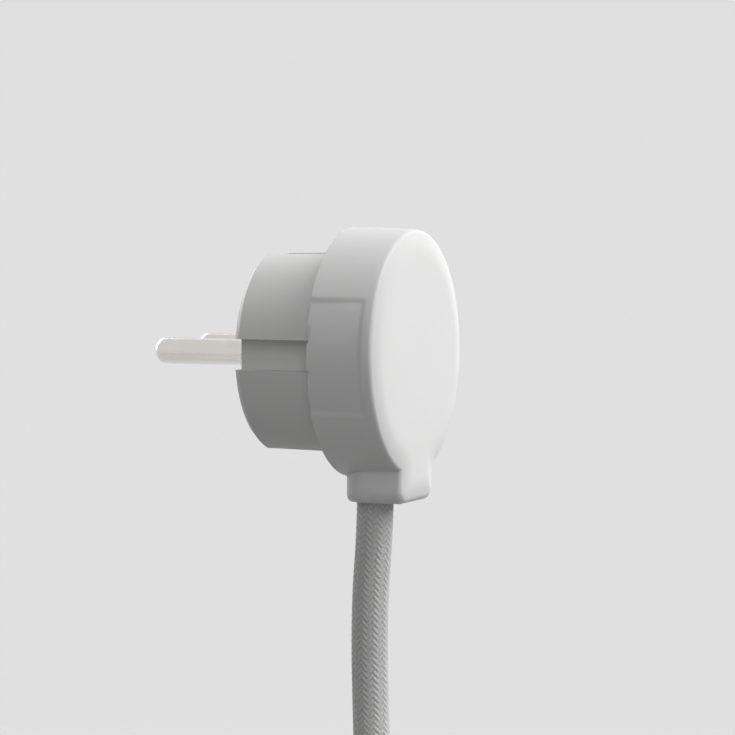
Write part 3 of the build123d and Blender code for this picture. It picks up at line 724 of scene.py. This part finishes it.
class PLUG_OT_hank_strap(bpy.types.Operator):
    """Make the strap round the hank: a thin rounded band carried round an oblong ring, its end lapped"""

    bl_idname = "plug.hank_strap"
    bl_label = "Hank Strap"

    def execute(self, context):
        turns = np.linspace(0.0, STRAP_TURNS, STRAP_STEPS)
        shares = STRAP_START + turns
        place, outward, length = oblong_path(STRAP_HALF_WIDTH, STRAP_HALF_DEPTH, STRAP_CORNER, shares)
        lapped = smooth_step((turns - STRAP_LAP_START) / STRAP_LAP_RAMP)
        lift = STRAP_THICKNESS * (0.5 + STRAP_LAP_LIFT * lapped)
        around = np.linspace(2 * np.pi, 0, STRAP_SIDES + 1)
        rise = np.sin(around)
        height = STRAP_HALF_HEIGHT * np.sign(rise) * np.abs(rise) ** STRAP_SQUARENESS
        proud = STRAP_THICKNESS / 2 * np.cos(around)
        flat = place[:, None] + outward[:, None] * (lift[:, None] + proud[None])[..., None]
        flat[..., 1] += HANK_MIDDLE_Y
        shape = flat.shape[:2]
        levels = np.broadcast_to(HANK_MIDDLE_Z + height, shape)
        points = np.concatenate([flat, levels[..., None]], -1)
        ribs = np.broadcast_to(height / STRAP_RIB, shape)
        run = np.broadcast_to((turns * length / STRAP_RIB)[:, None], shape)
        uvs = np.stack([ribs, run], -1)
        mesh = grid_mesh("hank_strap", points[:, :-1] * MM, True, "weave", uvs)
        piece = new_piece(mesh, woven("strap_weave", context.scene.plug_colours.strap))
        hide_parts("cord_tie")
        return {"FINISHED"}


def tab_half_width(y):
    """Half the tab's width at a depth: full at the front, and drawn in by its rear corner's arc.

    The arc stops a little before its end, where it would turn flat."""
    beyond = np.clip(y - (RIM_Y - TAB_REAR_CORNER), 0.0, TAB_REAR_CORNER - TAB_REAR_STOP)
    return TAB_HALF_WIDTH - TAB_REAR_CORNER + np.sqrt(TAB_REAR_CORNER**2 - beyond**2)


def straight(start, end, count):
    """Places spaced evenly on a straight line from a start up to an end, without the end itself."""
    start, end = np.array(start), np.array(end)
    return start + np.linspace(0, 1, count, endpoint=False)[:, None] * (end - start)


def cover_outline(radius, half):
    """The cover's outline as x, z: the disc's arc, then the tab's side, corner, bottom, corner and side.

    radius and half are the disc's radius and half the tab's width."""
    arc_count, side_count, corner_count, bottom_count = OUTLINE_SAMPLES
    start = math.asin(half / radius)
    arc = np.linspace(-math.pi / 2 + start, 1.5 * math.pi - start, arc_count, endpoint=False)
    turn = np.linspace(0, math.pi / 2, corner_count, endpoint=False)
    top, low, inner = -radius * math.cos(start), TAB_BOTTOM + TAB_CORNER, half - TAB_CORNER
    far, near = TAB_CORNER * np.cos(turn), TAB_CORNER * np.sin(turn)
    return np.concatenate([
        np.stack([radius * np.cos(arc), radius * np.sin(arc)], 1),
        straight((-half, top), (-half, low), side_count),
        np.stack([-inner - far, low - near], 1),
        straight((-inner, TAB_BOTTOM), (inner, TAB_BOTTOM), bottom_count),
        np.stack([inner + near, low - far], 1),
        straight((half, low), (half, top), side_count),
    ])


def smooth_larger(first, second, blend):
    """The larger of two values, rounded over where they are nearly equal."""
    close = np.maximum(blend - np.abs(first - second), 0.0) / blend
    return np.maximum(first, second) + close * close * blend / 4


def edge_distance(points, radius):
    """How far places on the face lie inside the outline: the larger of the disc's and tab's distance.

    The tab's is that of a slab with rounded lower corners, which ends at its root inside the disc."""
    x, z = points[..., 0], points[..., 1]
    disc = radius - np.hypot(x, z)
    side, low = TAB_CORNER - TAB_HALF_WIDTH + np.abs(x), TAB_CORNER - z + TAB_BOTTOM
    corner = np.hypot(np.maximum(side, 0), np.maximum(low, 0))
    tab = TAB_CORNER - corner - np.minimum(np.maximum(side, low), 0)
    tab = np.minimum(tab, TAB_ROOT - z)
    return smooth_larger(disc, tab, TAB_BLEND)


def crown_fall(distance, width, drop):
    """How far the face has fallen at a distance from its edge: drop (1 - d / width) to the power 2."""
    return drop * np.clip(1 - distance / width, 0, 1) ** 2


def cover_surface(sizes):
    """The cover's outer skin as rings of points, from the middle of its face to the end of its side.

    The rings of the face are the outline scaled about the middle, and the edge is an arc that meets the
    face's slope. On the side, the outline grows with the draft, the tab's rear corners draw in, and the
    recesses step inwards."""
    rear, front = sizes.cover_radius / MM, sizes.cover_front_radius / MM
    width, drop = sizes.crown_width / MM, sizes.crown_drop / MM
    outline = cover_outline(front, TAB_HALF_WIDTH)
    lowness = np.clip((TAB_EDGE_TOP - outline[:, 1]) / TAB_EDGE_RUN, 0, 1) ** TAB_EDGE_POWER
    edge = sizes.front_edge / MM + (sizes.tab_edge - sizes.front_edge) / MM * lowness
    slope = 2 * drop / width * (1 - 0.5 * edge / width)
    tilt = np.arctan(slope)
    inset = edge * (1 - np.sin(tilt))
    outward = np.stack([np.gradient(outline[:, 1]), -np.gradient(outline[:, 0])], 1)
    outward /= np.linalg.norm(outward, axis=1, keepdims=True)
    inner = outline - outward * inset[:, None]
    scale = np.sin(np.linspace(0, math.pi / 2, FACE_RINGS + 1)[1:])
    face = inner[None] * scale[:, None, None]
    fall = crown_fall(edge_distance(face, front), width, drop)
    rings = [np.stack([face[..., 0], FACE_Y + fall, face[..., 1]], -1)]
    depth = fall[-1] + edge * np.cos(tilt)
    for share in np.linspace(0, 1, EDGE_RINGS + 1)[1:]:
        angle = tilt + share * (math.pi / 2 - tilt)
        place = inner + outward * (edge * (np.sin(angle) - np.sin(tilt)))[:, None]
        y = FACE_Y + depth - edge * np.cos(angle)
        rings.append(np.stack([place[:, 0], y, place[:, 1]], -1)[None])
    edge_y = rings[-1][0, :, 1]
    for share in np.linspace(0, 1, SIDE_RINGS + 1)[1:]:
        y = edge_y + (SKIN_END_Y - edge_y) * share
        level = FACE_Y + SIDE_TOP_DEPTH + (SKIN_END_Y - FACE_Y - SIDE_TOP_DEPTH) * share
        radius = front + (rear - front) * min(1.0, (level - FACE_Y) / (RIM_Y - FACE_Y))
        place = cover_outline(radius, float(tab_half_width(level)))
        place = place * (1 - grip_depth(place, y, sizes) / radius)[:, None]
        rings.append(np.stack([place[:, 0], y, place[:, 1]], -1)[None])
    return np.concatenate(rings)


def grip_depth(place, y, sizes):
    """How deep the finger recesses are at places on the side: a rectangle with soft edges.

    The depth is a share of the full depth at its front and grows evenly to all of it at the rim."""
    height = smooth_step((GRIP_HALF_HEIGHT - np.abs(place[:, 1])) / GRIP_SOFTNESS)
    length = smooth_step((y - GRIP_FRONT_Y) / GRIP_SOFTNESS)
    deepening = np.clip((y - GRIP_FRONT_Y) / (RIM_Y - GRIP_FRONT_Y), 0, 1)
    share = GRIP_FRONT_SHARE + GRIP_REAR_GROWTH * deepening
    return height * length * sizes.grip_depth / MM * share


def merged_copy(node, name):
    """An object with a copy of a CAD node's mesh, its doubled corners joined, without stored normals."""
    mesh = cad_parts[node].data.copy()
    mesh.name = name
    stored = mesh.attributes.get("custom_normal")
    if stored:
        mesh.attributes.remove(stored)
    work = bpy.data.objects.new(name, mesh)
    bpy.context.scene.collection.objects.link(work)
    weld = work.modifiers.new("weld", "WELD")
    weld.merge_threshold = JOINED_WITHIN
    return work


def clean_corners(mesh):
    """Joins a mesh's nearly equal corners, splits its many-sided faces and drops faces without area."""
    work = bmesh.new()
    work.from_mesh(mesh)
    bmesh.ops.remove_doubles(work, verts=work.verts, dist=JOINED_WITHIN)
    bmesh.ops.triangulate(work, faces=[face for face in work.faces if len(face.verts) > 4])
    bmesh.ops.dissolve_degenerate(work, edges=work.edges, dist=JOINED_WITHIN)
    work.to_mesh(mesh)
    work.free()


class PLUG_OT_cover(bpy.types.Operator):
    """Make the cover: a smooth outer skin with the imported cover's inside, rim, slots and cord mouth"""

    bl_idname = "plug.cover"
    bl_label = "Cover"

    def execute(self, context):
        sizes, colours = context.scene.plug_sizes, context.scene.plug_colours
        mesh = grid_mesh("smooth_cover", cover_surface(sizes) * MM, True)
        material = moulded("cover_plastic", colours.cover, gloss=0.44, grain=5200.0, depth=0.006 * MM)
        piece = new_piece(mesh, material)
        inside = merged_copy("front_cover", "cover_inside")
        inside.data.materials.clear()
        inside.data.materials.append(material)
        cut = piece.modifiers.new("inside", "BOOLEAN")
        cut.operation = "INTERSECT"
        cut.solver = "EXACT"
        cut.object = inside
        context.view_layer.update()
        graph = context.evaluated_depsgraph_get()
        finished = bpy.data.meshes.new_from_object(piece.evaluated_get(graph))
        if len(finished.polygons) < len(mesh.polygons) / 2:
            raise RuntimeError("the cover's inside could not be cut")
        piece.modifiers.clear()
        piece.data = finished
        finished.name = "smooth_cover"
        clean_corners(finished)
        bpy.data.objects.remove(inside)
        finished.polygons.foreach_set("use_smooth", np.ones(len(finished.polygons), bool))
        finished.set_sharp_from_angle(angle=math.radians(SHARP_ANGLE))
        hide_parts("front_cover")
        return {"FINISHED"}


class PLUG_OT_mouldings(bpy.types.Operator):
    """Finish the moulded pieces: the nose and its carrier, the clamp's bar and the shrunk sleeve"""

    bl_idname = "plug.mouldings"
    bl_label = "Mouldings"

    def execute(self, context):
        colours = context.scene.plug_colours
        carrier = moulded("carrier_plastic", colours.carrier, gloss=0.50, grain=3800.0, depth=0.01 * MM)
        slot_finish(carrier, "contact_carrier")
        clamp = moulded(
            "clamp_plastic", colours.clamp, gloss=0.55, grain=3000.0, depth=0.02 * MM, tint=0.03
        )
        slot_finish(clamp, "cord_clamp")
        sleeve = moulded(
            "shrunk_sleeve", colours.sleeve, gloss=0.42, grain=1500.0, depth=0.03 * MM, tint=0.03
        )
        slot_finish(sleeve, "end_sleeve")
        return {"FINISHED"}


class PLUG_OT_metalwork(bpy.types.Operator):
    """Finish the plated pins and strip, the brass insert and terminal, and the zinc-plated screws"""

    bl_idname = "plug.metalwork"
    bl_label = "Metalwork"

    def execute(self, context):
        colours = context.scene.plug_colours
        pins = plated("pin_nickel", colours.nickel, gloss=0.16, ring=6500.0, depth=0.004 * MM)
        slot_finish(pins, "line_pin", "neutral_pin", "earth_socket")
        strip = plated("strip_nickel", colours.nickel, gloss=0.24, ring=2400.0, depth=0.006 * MM)
        slot_finish(strip, "earth_bracket")
        brass = plated("turned_brass", colours.brass, gloss=0.22, ring=5000.0, depth=0.006 * MM)
        slot_finish(brass, "threaded_insert", "earth_terminal")
        zinc = plated("screw_zinc", colours.zinc, gloss=0.28, ring=3500.0, depth=0.008 * MM)
        slot_finish(zinc, "line_terminal_screw", "neutral_terminal_screw", "earth_terminal_screw")
        slot_finish(zinc, "clamp_screws", "housing_screw")
        return {"FINISHED"}


class PLUG_OT_cores(bpy.types.Operator):
    """Finish the insulated cores and their ferrules, inside the plug and at the cord's far end"""

    bl_idname = "plug.cores"
    bl_label = "Cores"

    def execute(self, context):
        colours = context.scene.plug_colours
        slot_finish(insulated("core_brown", colours.brown), "line_core", "end_line_core")
        slot_finish(insulated("core_blue", colours.blue), "neutral_core", "end_neutral_core")
        inner = striped_insulation("core_earth", colours.green, colours.yellow, 0.0)
        slot_finish(inner, "earth_core")
        end_x = TAIL_ROUTE[-1][0] * MM
        outer = striped_insulation("core_earth_end", colours.green, colours.yellow, end_x)
        slot_finish(outer, "end_earth_core")
        end = collared("end_ferrule", colours.tin, colours.collar, END_COLLAR_Z * MM)
        slot_finish(end, "end_ferrules")
        inner = collared("inner_ferrule", colours.tin, colours.collar, ALL_TIN_Z * MM)
        slot_finish(inner, "line_ferrule", "neutral_ferrule", "earth_ferrule")
        return {"FINISHED"}


def camera_axes():
    """The camera's right, up and forward directions. Its yaw turns from +Y towards +X."""
    yaw, pitch, roll = (math.radians(a) for a in (CAMERA_YAW, CAMERA_PITCH, CAMERA_ROLL))
    level = math.cos(pitch)
    ahead = np.array([math.sin(yaw) * level, math.cos(yaw) * level, math.sin(pitch)])
    right = np.cross(ahead, [0, 0, 1])
    right /= np.linalg.norm(right)
    up = np.cross(right, ahead)
    cosine, sine = math.cos(roll), math.sin(roll)
    return cosine * right + sine * up, cosine * up - sine * right, ahead


def area_lamp(name, direction, size, level):
    """A square lamp along a direction, turned to the plug, of the power that gives a level there.

    A white surface that faces it shows the level itself: power = level pi squared distance squared."""
    data = bpy.data.lights.new(name, "AREA")
    data.size = size
    data.energy = level * math.pi**2 * LAMP_DISTANCE**2
    lamp = bpy.data.objects.new(name, data)
    towards = np.array(direction) / np.linalg.norm(direction)
    back = Matrix.Translation(tuple(towards * LAMP_DISTANCE))
    side = np.cross([0, 0, 1], towards)
    side /= np.linalg.norm(side)
    turn = Matrix(np.stack([side, np.cross(towards, side), towards], 1).tolist()).to_4x4()
    lamp.matrix_world = back @ turn
    bpy.context.scene.collection.objects.link(lamp)


def pale_world(settings):
    """A world that the camera and reflections see as the backdrop's colour, and that lights weakly."""
    world = bpy.data.worlds.new("pale_world")
    world.use_nodes = True
    tree = world.node_tree
    tree.nodes.clear()
    path = tree.nodes.new("ShaderNodeLightPath")
    seen = path.outputs[SEEING_RAYS[0]]
    for name in SEEING_RAYS[1:]:
        either = tree.nodes.new("ShaderNodeMath")
        either.operation = "MAXIMUM"
        tree.links.new(seen, either.inputs[0])
        tree.links.new(path.outputs[name], either.inputs[1])
        seen = either.outputs[0]
    around = tree.nodes.new("ShaderNodeBackground")
    around.inputs["Color"].default_value = (1.0, 1.0, 1.0, 1.0)
    around.inputs["Strength"].default_value = settings.ambient
    backdrop = tree.nodes.new("ShaderNodeBackground")
    backdrop.inputs["Color"].default_value = (*settings.backdrop, 1.0)
    mix = tree.nodes.new("ShaderNodeMixShader")
    tree.links.new(seen, mix.inputs[0])
    tree.links.new(around.outputs[0], mix.inputs[1])
    tree.links.new(backdrop.outputs[0], mix.inputs[2])
    output = tree.nodes.new("ShaderNodeOutputWorld")
    tree.links.new(mix.outputs[0], output.inputs["Surface"])
    bpy.context.scene.world = world


def pale_floor(settings):
    """A flat floor under the cord's end, which fades into the world with distance.

    The camera and reflections see it as pale as the world. It takes the plug's shadow and returns little
    light."""
    reach = np.array([-FLOOR_REACH, FLOOR_REACH])
    x, y = np.meshgrid(reach, reach)
    points = np.stack([x, y, np.full_like(x, CAD_BOX[0].z - FLOOR_GAP)], -1)
    mesh = grid_mesh("floor", points, False)
    finish = Finish("floor_paint", settings.backdrop, roughness=0.9)
    rays = [finish.node("LightPath", output=name) for name in SEEING_RAYS]
    seen = rays[0].larger(rays[1]).larger(rays[2])
    x, y = finish.along("X"), finish.along("Y")
    away = finish.node("Math", {"operation": "SQRT"}, {0: x * x + y * y})
    full, gone = FLOOR_FADE
    fade = finish.node("MapRange", sockets={"Value": away, 1: full, 2: gone, 3: 1.0, 4: 0.0})
    finish.surface(base_color=finish.mixed(seen, FLOOR_RETURN, settings.backdrop), alpha=fade)
    floor = bpy.data.objects.new("floor", mesh)
    mesh.materials.append(finish.material)
    bpy.context.scene.collection.objects.link(floor)


class PLUG_OT_stage(bpy.types.Operator):
    """Build the stage: the pale world and floor, the soft lamps and the photograph's camera"""

    bl_idname = "plug.stage"
    bl_label = "Stage"

    def execute(self, context):
        settings = context.scene.plug_stage
        pale_world(settings)
        pale_floor(settings)
        for name, (direction, size) in LAMPS.items():
            area_lamp(name + "_lamp", direction, size, getattr(settings, name))
        right, up, ahead = camera_axes()
        data = bpy.data.cameras.new("camera")
        data.sensor_width = SENSOR_WIDTH
        data.lens = FOCAL_PIXELS * SENSOR_WIDTH / PICTURE_PIXELS
        data.clip_start, data.clip_end = CLIP_START, CLIP_END
        camera = bpy.data.objects.new("camera", data)
        turn = Matrix(np.stack([right, up, -ahead], 1).tolist()).to_4x4()
        camera.matrix_world = Matrix.Translation([v * MM for v in CAMERA_PLACE]) @ turn
        context.scene.collection.objects.link(camera)
        context.scene.camera = camera
        context.scene.view_settings.view_transform = "Standard"
        return {"FINISHED"}


class PLUG_PT_panel(bpy.types.Panel):
    """Lists the plug's pieces and its settings in the sidebar"""

    bl_idname = "PLUG_PT_panel"
    bl_label = "Flat Mains Plug"
    bl_space_type = "VIEW_3D"
    bl_region_type = "UI"
    bl_category = "Plug"

    def draw(self, context):
        scene = context.scene
        for step in STEPS:
            self.layout.operator(step.bl_idname)
        for group in (scene.plug_sizes, scene.plug_colours, scene.plug_stage):
            for name in group.__annotations__:
                self.layout.prop(group, name)


STEPS = (
    PLUG_OT_stage,
    PLUG_OT_hank_strap,
    PLUG_OT_braided_cord,
    PLUG_OT_cover,
    PLUG_OT_mouldings,
    PLUG_OT_metalwork,
    PLUG_OT_cores,
)
GROUPS = {"plug_sizes": PlugSizes, "plug_colours": PlugColours, "plug_stage": StageSettings}


def register():
    """Registers the settings, the operators and the panel."""
    for name, group in GROUPS.items():
        bpy.utils.register_class(group)
        setattr(bpy.types.Scene, name, bpy.props.PointerProperty(type=group))
    for made in (*STEPS, PLUG_PT_panel):
        bpy.utils.register_class(made)


def unregister():
    """Takes the panel, the operators and the settings away again."""
    for made in reversed((*STEPS, PLUG_PT_panel)):
        bpy.utils.unregister_class(made)
    for name, group in GROUPS.items():
        delattr(bpy.types.Scene, name)
        bpy.utils.unregister_class(group)


def main():
    """Makes every piece in order."""
    register()
    for step in STEPS:
        group, name = step.bl_idname.split(".")
        getattr(getattr(bpy.ops, group), name)()


if __name__ == "__main__":
    main()
